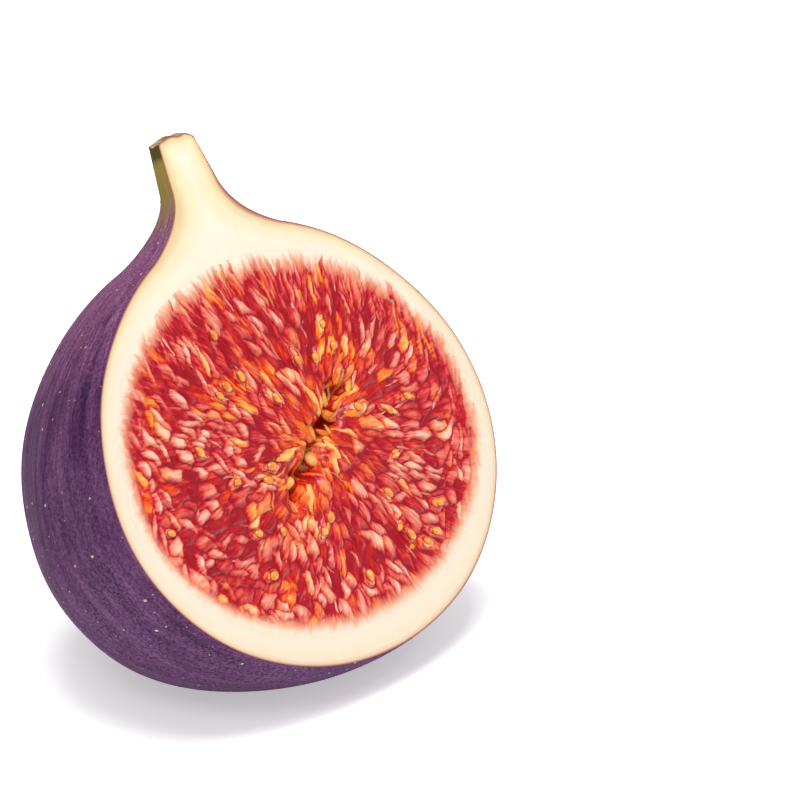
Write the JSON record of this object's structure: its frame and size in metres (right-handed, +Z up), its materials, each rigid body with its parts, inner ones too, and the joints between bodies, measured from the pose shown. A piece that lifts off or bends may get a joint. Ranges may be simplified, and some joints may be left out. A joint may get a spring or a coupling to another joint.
{
  "type": "fresh fig half",
  "caption": "Half of a fresh purple fig, cut lengthwise through its stem and resting on its base, with violet skin, a cream rind and a flat red cut face of pulp and seeds.",
  "frame": {"origin": "on the resting surface, under the middle of the half fig's bounding box", "axes": "+Z up; the cut face looks towards -Y and leans back 30 degrees from upright; +X runs across the cut face, and the stem is at the top"},
  "size_m": [0.056, 0.0382, 0.0507],
  "materials": {
    "skin": "satin, with a thin waxy bloom",
    "stem": "matte",
    "rind": "moist, matte",
    "pulp": "wet",
    "seed": "wet"
  },
  "bodies": {
    "root": {"fig_half": "skin"}
  },
  "joints": []
}
